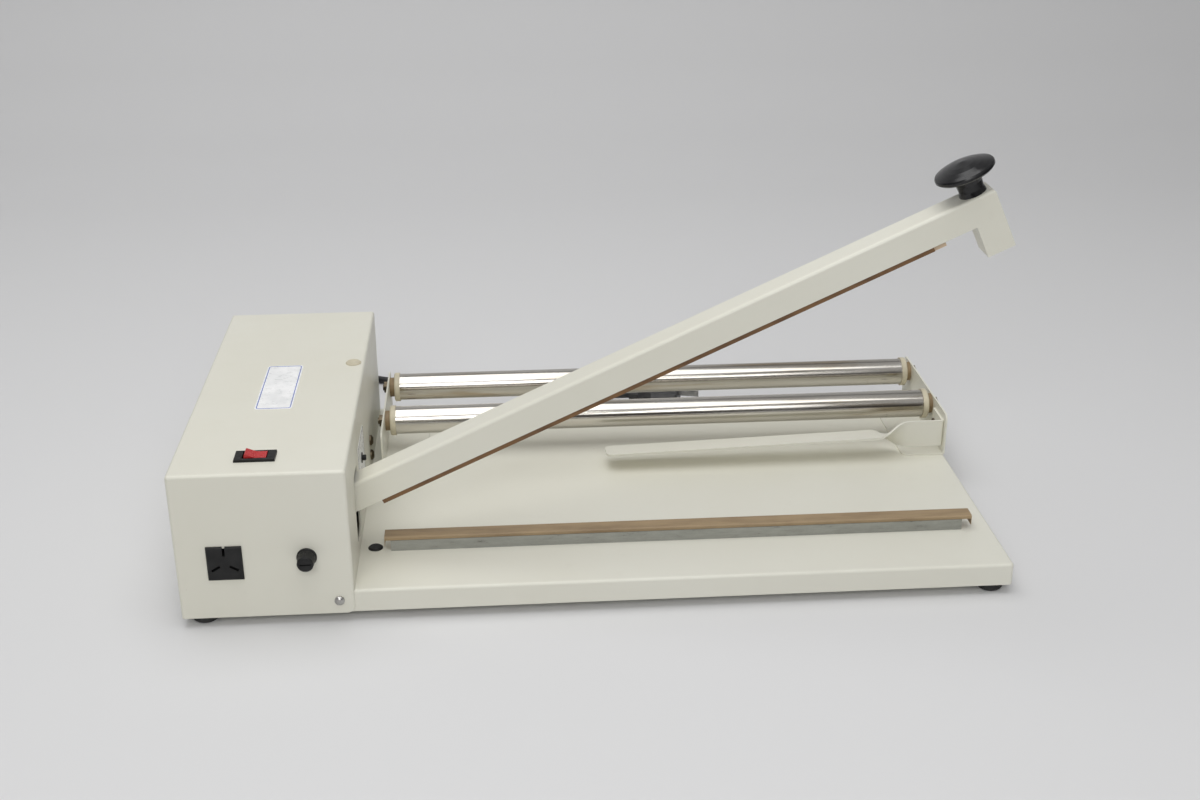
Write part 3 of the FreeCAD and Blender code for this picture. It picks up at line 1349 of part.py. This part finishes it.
make_base_pan()
make_feet()
make_cover()
make_cover_screws()
make_rocker_switch()
make_socket()
make_fuse_holder()
make_hole_plugs()
make_timer()
make_side_bolts()
make_transformer()
make_jaw()
make_arm_channel()
bar_base = make_heated_bar()
make_terminals(bar_base)
make_knob()
make_pivot()
make_roller("front", ROLLER_Y)
make_roller("rear", ROLLER_Y + roller_pitch)
make_bracket("left")
make_bracket("right")
make_bracket_screws()
make_separator()
make_lead()

doc.recompute()

for obj in doc.Objects:
    if "Invalid" in obj.State or "Error" in obj.State:
        raise ValueError("failed: " + obj.Name + " " + str(obj.State))
for node, obj in made.items():
    if obj.Shape.isNull() or not obj.Shape.isValid() or not obj.Shape.Solids:
        raise ValueError("bad shape: " + node)
for node, obj in made.items():
    obj.Shape.exportStep("parts/" + node + ".step")
print(len(made), "nodes")
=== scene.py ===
import bmesh
import bpy
import json
import math
from mathutils import Matrix, Vector


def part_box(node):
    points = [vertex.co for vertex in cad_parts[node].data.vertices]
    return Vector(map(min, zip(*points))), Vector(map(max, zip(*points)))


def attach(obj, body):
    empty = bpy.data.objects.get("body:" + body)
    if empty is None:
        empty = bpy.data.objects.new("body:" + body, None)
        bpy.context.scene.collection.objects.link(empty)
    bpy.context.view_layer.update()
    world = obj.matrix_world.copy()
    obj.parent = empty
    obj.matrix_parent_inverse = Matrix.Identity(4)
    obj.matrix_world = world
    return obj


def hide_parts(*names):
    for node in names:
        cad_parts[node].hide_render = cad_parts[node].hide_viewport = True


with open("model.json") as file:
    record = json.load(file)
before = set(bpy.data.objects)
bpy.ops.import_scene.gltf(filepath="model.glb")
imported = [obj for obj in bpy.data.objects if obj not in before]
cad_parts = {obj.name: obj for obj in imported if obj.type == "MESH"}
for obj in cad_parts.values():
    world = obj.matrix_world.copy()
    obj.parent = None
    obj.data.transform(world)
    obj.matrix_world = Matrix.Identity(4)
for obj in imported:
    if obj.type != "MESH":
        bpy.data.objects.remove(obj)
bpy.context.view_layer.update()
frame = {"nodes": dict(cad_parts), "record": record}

scene = bpy.context.scene
nodes = frame["nodes"]

# The box's front left corner on the table, in the row's frame, in metres.
cover_low, cover_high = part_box("control_cover")
CORNER = Vector((cover_low.x, cover_low.y, 0))


def at(x, y, z):
    """A point given in millimetres from the box's front left corner and the table."""
    return CORNER + Vector((x, y, z)) / 1000


# ------------------------------------------------------------------ camera

CAMERA_PLACE = (246.16, -1017.2, 620.93)
CAMERA_YAW = 4.0604
CAMERA_PITCH = 23.4762
CAMERA_ROLL = -0.2118
CAMERA_LENS = 45.88
CAMERA_SENSOR = 36


def make_camera():
    """The camera, from its place and lens in millimetres and its angles in degrees."""
    yaw, pitch, roll = (math.radians(a) for a in (CAMERA_YAW, CAMERA_PITCH, CAMERA_ROLL))
    level = math.cos(pitch)
    forward = Vector((math.sin(yaw) * level, math.cos(yaw) * level, -math.sin(pitch)))
    right = Vector((math.cos(yaw), -math.sin(yaw), 0))
    up = right.cross(forward)
    side = right * math.cos(roll) + up * math.sin(roll)
    top = up * math.cos(roll) - right * math.sin(roll)
    data = bpy.data.cameras.new("camera")
    data.sensor_width = CAMERA_SENSOR
    data.lens = CAMERA_LENS
    camera = bpy.data.objects.new("camera", data)
    scene.collection.objects.link(camera)
    turn = Matrix((side, top, -forward)).transposed()
    camera.matrix_world = Matrix.Translation(at(*CAMERA_PLACE)) @ turn.to_4x4()
    scene.camera = camera


make_camera()


# ------------------------------------------------------------------ materials

class Shade:
    """A node material under construction."""

    def __init__(self, name, color, rough, metal=0.0):
        self.mat = bpy.data.materials.new(name)
        self.mat.use_nodes = True
        self.tree = self.mat.node_tree
        self.bsdf = self.tree.nodes["Principled BSDF"]
        self.bsdf.inputs["Base Color"].default_value = (*color, 1)
        self.bsdf.inputs["Roughness"].default_value = rough
        self.bsdf.inputs["Metallic"].default_value = metal
        self.coords = self.tree.nodes.new("ShaderNodeTexCoord").outputs["Object"]
        self.normal = None

    def set(self, **values):
        for name, value in values.items():
            self.bsdf.inputs[name.replace("_", " ")].default_value = value

    def node(self, kind, **props):
        made = self.tree.nodes.new(kind)
        for key, value in props.items():
            setattr(made, key, value)
        return made

    def link(self, a, b):
        self.tree.links.new(a, b)

    def stretched(self, scale):
        mapping = self.node("ShaderNodeMapping")
        mapping.inputs["Scale"].default_value = scale
        self.link(self.coords, mapping.inputs["Vector"])
        return mapping.outputs["Vector"]

    def noise(self, scale, detail=3.0, vector=None, rough=0.5):
        made = self.node("ShaderNodeTexNoise")
        made.inputs["Scale"].default_value = scale
        made.inputs["Detail"].default_value = detail
        made.inputs["Roughness"].default_value = rough
        self.link(vector or self.coords, made.inputs["Vector"])
        return made.outputs["Fac"]

    def ramp(self, value, stops):
        made = self.node("ShaderNodeValToRGB")
        elements = made.color_ramp.elements
        while len(elements) < len(stops):
            elements.new(0.5)
        for element, (place, color) in zip(elements, stops):
            element.position = place
            element.color = (*color, 1)
        self.link(value, made.inputs["Fac"])
        return made.outputs["Color"]

    def grey(self, value, low, high, start=0.35, end=0.65):
        """Map a value to a range."""
        made = self.node("ShaderNodeMapRange")
        made.inputs["From Min"].default_value = start
        made.inputs["From Max"].default_value = end
        made.inputs["To Min"].default_value = low
        made.inputs["To Max"].default_value = high
        self.link(value, made.inputs["Value"])
        return made.outputs["Result"]

    def mix(self, factor, a, b):
        """Mix two colours, each a tuple or another node's output."""
        made = self.node("ShaderNodeMix", data_type="RGBA", blend_type="MIX")
        ins = [i for i in made.inputs if i.enabled]
        for socket, value in zip(ins, (factor, a, b)):
            if isinstance(value, tuple):
                socket.default_value = (*value, 1)
            else:
                self.link(value, socket)
        return [o for o in made.outputs if o.enabled][0]

    def paint(self, value):
        self.link(value, self.bsdf.inputs["Base Color"])

    def rough(self, value):
        self.link(value, self.bsdf.inputs["Roughness"])

    def bump(self, value, strength, distance):
        """Add one more bump on top of those the material already has."""
        made = self.node("ShaderNodeBump")
        made.inputs["Strength"].default_value = strength
        made.inputs["Distance"].default_value = distance
        self.link(value, made.inputs["Height"])
        if self.normal is not None:
            self.link(self.normal, made.inputs["Normal"])
        self.normal = made.outputs["Normal"]
        self.link(self.normal, self.bsdf.inputs["Normal"])


def cream_paint():
    """Semi-gloss powder coat: faint clouding, fine orange peel, rare small chips."""
    s = Shade("cream_paint", (0.78, 0.765, 0.67), 0.38)
    cloud = s.grey(s.noise(4.0, 4), 0.0, 1.0)
    base = s.mix(cloud, (0.765, 0.75, 0.65), (0.80, 0.79, 0.70))
    chips = s.ramp(s.noise(260.0, 2), [
        (0.0, (1, 1, 1)), (0.17, (1, 1, 1)), (0.19, (0, 0, 0)), (1.0, (0, 0, 0))])
    smudge = s.grey(s.noise(30.0, 6, rough=0.7), 0.0, 0.10, 0.60, 0.8)
    dirty = s.mix(smudge, base, (0.55, 0.50, 0.41))
    s.paint(s.mix(chips, dirty, (0.36, 0.30, 0.20)))
    s.rough(s.grey(s.noise(60.0, 3), 0.34, 0.46))
    s.set(Coat_Weight=0.12, Coat_Roughness=0.2)
    s.bump(s.noise(900.0, 2), 0.10, 0.0003)
    return s.mat


def roller_steel():
    """Polished stainless tube: fine lengthwise lines and brown tarnish streaks."""
    s = Shade("roller_steel", (0.60, 0.57, 0.52), 0.16, 1.0)
    lengthwise = s.noise(1.0, 3, s.stretched((3, 260, 260)))
    streaks = s.noise(1.0, 5, s.stretched((7, 90, 90)), rough=0.6)
    tone = s.ramp(streaks, [
        (0.30, (0.42, 0.35, 0.26)), (0.46, (0.58, 0.55, 0.50)), (0.75, (0.66, 0.64, 0.60))])
    s.paint(tone)
    s.rough(s.grey(streaks, 0.12, 0.22))
    s.bump(lengthwise, 0.05, 0.0001)
    return s.mat


def aluminium():
    """Dull extruded aluminium with lengthwise drawing lines and scuffs."""
    s = Shade("jaw_aluminium", (0.42, 0.42, 0.40), 0.5, 0.6)
    lines = s.noise(1.0, 4, s.stretched((8, 900, 900)))
    scuffs = s.noise(1.0, 6, s.stretched((60, 300, 300)), rough=0.8)
    s.paint(s.ramp(scuffs, [
        (0.30, (0.14, 0.135, 0.12)), (0.40, (0.34, 0.345, 0.32)), (0.75, (0.44, 0.445, 0.42))]))
    s.rough(s.grey(lines, 0.34, 0.55))
    s.bump(lines, 0.15, 0.0002)
    return s.mat


THREADS_PER_METRE = 950.0
FULL_TURN = 6.283  # radians


def glass_cloth(name, light, dark):
    """PTFE-coated glass cloth: a fine square weave, scorched in patches."""
    s = Shade(name, light, 0.5)
    split = s.node("ShaderNodeSeparateXYZ")
    s.link(s.coords, split.inputs["Vector"])
    threads = []
    for axis in ("X", "Y"):
        wave = s.node("ShaderNodeMath", operation="SINE")
        scaled = s.node("ShaderNodeMath", operation="MULTIPLY")
        scaled.inputs[1].default_value = THREADS_PER_METRE * FULL_TURN
        s.link(split.outputs[axis], scaled.inputs[0])
        s.link(scaled.outputs[0], wave.inputs[0])
        threads.append(wave.outputs[0])
    cross = s.node("ShaderNodeMath", operation="MULTIPLY")
    s.link(threads[0], cross.inputs[0])
    s.link(threads[1], cross.inputs[1])
    scorch = s.noise(1.0, 5, s.stretched((22, 120, 60)), rough=0.65)
    pale = tuple(min(1, c * 1.18) for c in light)
    base = s.ramp(scorch, [(0.32, dark), (0.52, light), (0.72, pale)])
    s.paint(base)
    s.rough(s.grey(scorch, 0.42, 0.62))
    s.bump(cross.outputs[0], 0.15, 0.0002)
    s.bump(s.noise(160.0, 3), 0.2, 0.0004)
    return s.mat


def moulded(name, color, rough, peel=1400.0, spec=0.5):
    """Moulded plastic: even colour with faint flow marks and a fine texture."""
    s = Shade(name, color, rough)
    light = tuple(min(1.0, c * 1.25 + 0.006) for c in color)
    s.paint(s.mix(s.grey(s.noise(90.0, 4), 0.0, 1.0), color, light))
    s.rough(s.grey(s.noise(220.0, 3), rough * 0.85, rough * 1.2))
    s.bump(s.noise(peel, 2), 0.08, 0.0002)
    s.set(Specular_IOR_Level=spec)
    return s.mat


def plated(name, color, rough):
    """Plated or plain steel: metal with small tonal blotches."""
    s = Shade(name, color, rough, 1.0)
    dark = tuple(c * 0.72 for c in color)
    s.paint(s.mix(s.grey(s.noise(260.0, 5), 0.0, 1.0), dark, color))
    s.rough(s.grey(s.noise(500.0, 3), rough * 0.8, rough * 1.35))
    s.bump(s.noise(800.0, 3), 0.08, 0.0002)
    return s.mat


def cord_rubber():
    """Black PVC lead: satin, with dust and very faint drawing lines."""
    s = Shade("cord_rubber", (0.02, 0.02, 0.021), 0.42)
    dusty = s.grey(s.noise(120.0, 5), 0.0, 0.6)
    s.paint(s.mix(dusty, (0.017, 0.017, 0.018), (0.05, 0.048, 0.045)))
    s.rough(s.grey(s.noise(300.0, 3), 0.36, 0.5))
    s.bump(s.noise(900.0, 2), 0.1, 0.0002)
    return s.mat


def silicone():
    """Tan silicone strip: matte, dusty, with small dents along it."""
    s = Shade("silicone", (0.62, 0.52, 0.40), 0.7)
    dust = s.noise(1.0, 5, s.stretched((30, 200, 200)))
    s.paint(s.ramp(dust, [
        (0.3, (0.50, 0.40, 0.29)), (0.55, (0.64, 0.54, 0.42)), (0.8, (0.72, 0.63, 0.50))]))
    s.bump(s.noise(1.0, 4, s.stretched((120, 400, 400))), 0.3, 0.0004)
    return s.mat


MATS = {
    "cream_paint": cream_paint(),
    "roller_steel": roller_steel(),
    "jaw_aluminium": aluminium(),
    "silicone": silicone(),
    "jaw_tape": glass_cloth("jaw_tape_cloth", (0.36, 0.26, 0.15), (0.27, 0.185, 0.10)),
    "heater_tape": glass_cloth("heater_tape_cloth", (0.22, 0.115, 0.045), (0.12, 0.055, 0.02)),
    "bar_plastic": moulded("bar_plastic", (0.56, 0.43, 0.30), 0.55),
    "black_gloss": moulded("black_gloss", (0.010, 0.010, 0.011), 0.2, 700.0, spec=0.4),
    "black_satin": moulded("black_satin", (0.012, 0.012, 0.012), 0.45, spec=0.25),
    "red_plastic": moulded("red_plastic", (0.42, 0.008, 0.010), 0.25, 900.0),
    "plug_cream": moulded("plug_cream", (0.56, 0.51, 0.38), 0.42),
    "spacer_brown": moulded("spacer_brown", (0.24, 0.17, 0.09), 0.5),
    "foot_rubber": moulded("foot_rubber", (0.02, 0.02, 0.02), 0.65),
    "winding": moulded("winding", (0.55, 0.40, 0.16), 0.45),
    "core_steel": plated("core_steel", (0.22, 0.20, 0.18), 0.5),
    "zinc_steel": plated("zinc_steel", (0.58, 0.57, 0.55), 0.32),
    "black_steel": plated("black_steel", (0.16, 0.13, 0.09), 0.35),
    "spring_steel": plated("spring_steel", (0.30, 0.29, 0.28), 0.35),
    "heating_wire": plated("heating_wire", (0.48, 0.42, 0.36), 0.4),
    "cord_rubber": cord_rubber(),
    "label_white": moulded("label_white", (0.84, 0.85, 0.85), 0.3),
    "label_blue": moulded("label_blue", (0.05, 0.11, 0.42), 0.3),
    "label_dark": moulded("label_dark", (0.09, 0.09, 0.11), 0.35),
}

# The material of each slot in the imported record, and the nodes that take another one.
SLOT_MATS = {
    "cream_paint": "cream_paint", "jaw_aluminium": "jaw_aluminium", "silicone": "silicone",
    "bar_plastic": "bar_plastic", "heating_wire": "heating_wire", "spring_steel": "spring_steel",
    "roller_steel": "roller_steel", "plug_plastic": "plug_cream", "spacer_plastic": "spacer_brown",
    "black_plastic": "black_gloss", "black_matte": "black_satin", "red_plastic": "red_plastic",
    "zinc_steel": "zinc_steel", "black_steel": "black_steel", "foot_rubber": "foot_rubber",
    "core_steel": "core_steel", "winding": "winding", "cord_rubber": "cord_rubber",
}
NODE_MATS = {"jaw_tape": "jaw_tape", "heater_tape": "heater_tape", "mains_socket": "black_satin",
             "rocker_bezel": "black_satin", "fuse_holder": "black_satin", "fuse_cap": "black_satin"}

for part in frame["record"]["subparts"]:
    name = part["node"]
    chosen = NODE_MATS.get(name) or SLOT_MATS[part["material_slot"]]
    mesh = nodes[name].data
    mesh.materials.clear()
    mesh.materials.append(MATS[chosen])


# ------------------------------------------------------------------ piece helpers

def add_mesh(name, bm, mat, body):
    """Turn a bmesh into a flat-shaded piece that rides on a body."""
    bmesh.ops.recalc_face_normals(bm, faces=bm.faces)
    mesh = bpy.data.meshes.new(name)
    bm.to_mesh(mesh)
    bm.free()
    obj = bpy.data.objects.new(name, mesh)
    scene.collection.objects.link(obj)
    mesh.materials.append(MATS[mat])
    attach(obj, body)


CORNER_STEPS = 8


def rounded_outline(width, height, radius):
    """Points of a rectangle with rounded corners, centred on the origin."""
    points = []
    for sx, sy, start in ((1, 1, 0), (-1, 1, 90), (-1, -1, 180), (1, -1, 270)):
        for i in range(CORNER_STEPS + 1):
            angle = math.radians(start + 90 * i / CORNER_STEPS)
            points.append((sx * (width / 2 - radius) + radius * math.cos(angle),
                           sy * (height / 2 - radius) + radius * math.sin(angle)))
    return points


def slab(bm, outline, place, low, high, inner=None):
    """A flat slab, or a flat ring where inner is given, between two levels.
    place maps (u, v, w) to a point of the row's frame."""
    rings = []
    for points, level in ((outline, low), (outline, high)):
        rings.append([bm.verts.new(place(u, v, level)) for u, v in points])
    count = len(outline)
    for i in range(count):
        j = (i + 1) % count
        bm.faces.new((rings[0][i], rings[0][j], rings[1][j], rings[1][i]))
    if inner is None:
        bm.faces.new(rings[1])
        bm.faces.new(list(reversed(rings[0])))
        return
    holes = []
    for level in (low, high):
        holes.append([bm.verts.new(place(u, v, level)) for u, v in inner])
    for i in range(count):
        j = (i + 1) % count
        bm.faces.new((holes[0][i], holes[1][i], holes[1][j], holes[0][j]))
        bm.faces.new((rings[1][i], rings[1][j], holes[1][j], holes[1][i]))
        bm.faces.new((rings[0][i], holes[0][i], holes[0][j], rings[0][j]))


# ------------------------------------------------------------------ mains lead

LEAD_RADIUS = 0.0035  # in metres; the other lengths of the lead are in millimetres
# The points before and after the coil.
TAIL = [(32, 367, 37), (32, 386, 37), (32.6, 406, 30.5), (34, 425, 22), (35.3, 441, 18.3)]
RUN = [(124, 470, 3.5), (163, 461, 3.5), (206, 461, 3.5), (248, 456, 3.5),
       (288, 443, 3.5), (322, 425, 3.5), (351, 408, 5.5), (377, 401, 8.5)]
COIL_MID = (70.5, 455)
# (radius, height) of each turn's centreline, from the top inside to the bottom outside
COIL_TURNS = [(34.9, 17.7), (42.1, 17.7), (42.1, 10.6), (34.9, 10.6), (34.9, 3.6), (42.1, 3.6)]
COIL_START = 180  # where the coil begins and ends, in degrees round its middle
COIL_END = 60
COIL_LAP = 320  # degrees of travel from one change of turn to the next
COIL_SHIFT = 80  # degrees of travel that such a change takes
COIL_STEP = 22.5  # the most degrees between two points


def coil_point(travelled):
    """A point of the coil's centreline after so many degrees of clockwise travel."""
    radius, height = COIL_TURNS[0]
    for number, (before, after) in enumerate(zip(COIL_TURNS, COIL_TURNS[1:]), 1):
        part = (travelled - COIL_LAP * number + COIL_SHIFT / 2) / COIL_SHIFT
        part = min(1, max(0, part))
        smooth = part * part * (3 - 2 * part)
        radius += (after[0] - before[0]) * smooth
        height += (after[1] - before[1]) * smooth
    angle = math.radians(COIL_START - travelled)
    x, y = COIL_MID
    return at(x + radius * math.cos(angle), y + radius * math.sin(angle), height)


def lead_points():
    """The lead's route from the strain relief through its coil."""
    points = [at(*p) for p in TAIL]
    total = COIL_START - COIL_END + 360 * (len(COIL_TURNS) - 1)
    count = int(total / COIL_STEP) + 1
    for i in range(count + 1):
        points.append(coil_point(total * i / count))
    return points


def spline_curve(name, points, radius, mat):
    """A round tube along one NURBS curve."""
    data = bpy.data.curves.new(name, "CURVE")
    data.dimensions = "3D"
    data.bevel_depth = radius
    data.bevel_resolution = 6
    data.resolution_u = 10
    data.use_fill_caps = True
    spline = data.splines.new("NURBS")
    spline.points.add(len(points) - 1)
    for point, place in zip(spline.points, points):
        point.co = (*place, 1)
    spline.order_u = 3
    spline.use_endpoint_u = True
    data.materials.append(MATS[mat])
    obj = bpy.data.objects.new(name, data)
    scene.collection.objects.link(obj)
    return obj


def bare_copy(curve):
    """A copy without its thickness, whose mesh is the centreline."""
    data = curve.data.copy()
    data.bevel_depth = 0
    return bpy.data.objects.new("probe", data)


def make_lead():
    """One cord: tail, coil and run are points of the same spline."""
    points = lead_points() + [at(*p) for p in RUN]
    lead = spline_curve("mains_lead", points, LEAD_RADIUS, "cord_rubber")
    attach(lead, "base")
    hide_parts("lead_tail", "lead_coil", "lead_run")
    probe = bpy.data.meshes.new_from_object(bare_copy(lead))


make_lead()


# ------------------------------------------------------------------ labels on the box

TOP_PLATE_X = 64.5
TOP_PLATE_Y = 163
SIDE_PLATE_Y = 124
SIDE_PLATE_Z = 71.5


def top_place(u, v, w):
    """A point of the top plate's own frame, which lies on the box's top."""
    return at(TOP_PLATE_X + u, TOP_PLATE_Y + v, 0) + Vector((0, 0, cover_high.z + w / 1000))


def side_place(u, v, w):
    """A point of the side plate's own frame, which lies on the box's right wall."""
    return Vector((cover_high.x + w / 1000, CORNER.y + (SIDE_PLATE_Y + u) / 1000,
                   (SIDE_PLATE_Z + v) / 1000))


# Two bare white plates, each with a border: name, material, frame, outline as (width, height,
# corner radius), the two levels between which it lies, and the same of a border's hole.
PLATES = [
    ("top_plate", "label_white", top_place, (30, 92, 3), (0, 0.35), None),
    ("top_plate_border", "label_blue", top_place, (27.6, 89.6, 2.4), (0.33, 0.42),
     (26.2, 88.2, 1.8)),
    ("side_plate", "label_white", side_place, (53, 53, 3), (0, 0.3), None),
    ("side_plate_border", "label_dark", side_place, (51.6, 51.6, 2.6), (0.28, 0.36),
     (49.6, 49.6, 1.9)),
]


def make_labels():
    """The bare plate on the box's top and the bare timer plate on its right wall."""
    for name, mat, place, outline, levels, hole in PLATES:
        bm = bmesh.new()
        inner = rounded_outline(*hole) if hole else None
        slab(bm, rounded_outline(*outline), place, *levels, inner)
        add_mesh(name, bm, mat, "base")


make_labels()


# ------------------------------------------------------------------ stage and light

# the floor from its near edge, and the backdrop it curves up into, as (y, z) points in metres
STAGE_PROFILE = [(-2.2, 0), (1.0, 0), (1.25, 0.02), (1.45, 0.10), (1.58, 0.24), (1.64, 0.45),
                 (1.66, 3.2)]
STAGE_HALF = 4
FLOOR_GAP = 0.0004  # below the feet, so that the two faces don't flicker
FLOOR_COLOR = (0.74, 0.74, 0.745, 1)


def make_stage():
    """A plain pale floor that curves up into a backdrop."""
    floor_mat = bpy.data.materials.new("floor_pale")
    floor_mat.use_nodes = True
    tree = floor_mat.node_tree
    bsdf = tree.nodes["Principled BSDF"]
    bsdf.inputs["Base Color"].default_value = FLOOR_COLOR
    bsdf.inputs["Roughness"].default_value = 0.85
    mesh = bpy.data.meshes.new("floor")
    bm = bmesh.new()
    rows = [[bm.verts.new((x, y, z - FLOOR_GAP)) for y, z in STAGE_PROFILE]
            for x in (-STAGE_HALF, STAGE_HALF)]
    for i in range(len(STAGE_PROFILE) - 1):
        bm.faces.new((rows[0][i], rows[1][i], rows[1][i + 1], rows[0][i + 1]))
    bmesh.ops.recalc_face_normals(bm, faces=bm.faces)
    bm.to_mesh(mesh)
    bm.free()
    for polygon in mesh.polygons:
        polygon.use_smooth = True
    floor = bpy.data.objects.new("floor", mesh)
    scene.collection.objects.link(floor)
    mesh.materials.append(floor_mat)


def area_light(name, place, target, size, power):
    """A rectangular lamp that looks at its target, in metres and watts."""
    data = bpy.data.lights.new(name, "AREA")
    data.shape = "RECTANGLE"
    data.size, data.size_y = size
    data.energy = power
    light = bpy.data.objects.new(name, data)
    light.location = place
    direction = Vector(target) - Vector(place)
    light.rotation_euler = direction.to_track_quat("-Z", "Y").to_euler()
    scene.collection.objects.link(light)


make_stage()
area_light("top", place=(-0.2, -0.1, 1.9), target=(0, 0, 0), size=(2.2, 1.4), power=19)
area_light("front", place=(-0.2, -2.2, 1.5), target=(0, 0, 0.05), size=(1.8, 0.9), power=19)


# Where the surround starts and stops to brighten, and its colours there.
DIM_UP_TO = 0.15
DIM_COLOR = (0.06, 0.058, 0.055, 1)
PALE_FROM = 0.75
PALE_COLOR = (0.42, 0.42, 0.42, 1)


def make_world():
    """Soft studio surround: pale overhead, dim towards the horizon."""
    world = bpy.data.worlds.new("world")
    scene.world = world
    world.use_nodes = True
    tree = world.node_tree
    coords = tree.nodes.new("ShaderNodeTexCoord")
    split = tree.nodes.new("ShaderNodeSeparateXYZ")
    ramp = tree.nodes.new("ShaderNodeValToRGB")
    tree.links.new(coords.outputs["Generated"], split.inputs["Vector"])
    tree.links.new(split.outputs["Z"], ramp.inputs["Fac"])
    ramp.color_ramp.elements[0].position = DIM_UP_TO
    ramp.color_ramp.elements[0].color = DIM_COLOR
    ramp.color_ramp.elements[1].position = PALE_FROM
    ramp.color_ramp.elements[1].color = PALE_COLOR
    tree.links.new(ramp.outputs["Color"], tree.nodes["Background"].inputs["Color"])
    tree.nodes["Background"].inputs["Strength"].default_value = 1.0


make_world()
scene.view_settings.view_transform = "Standard"
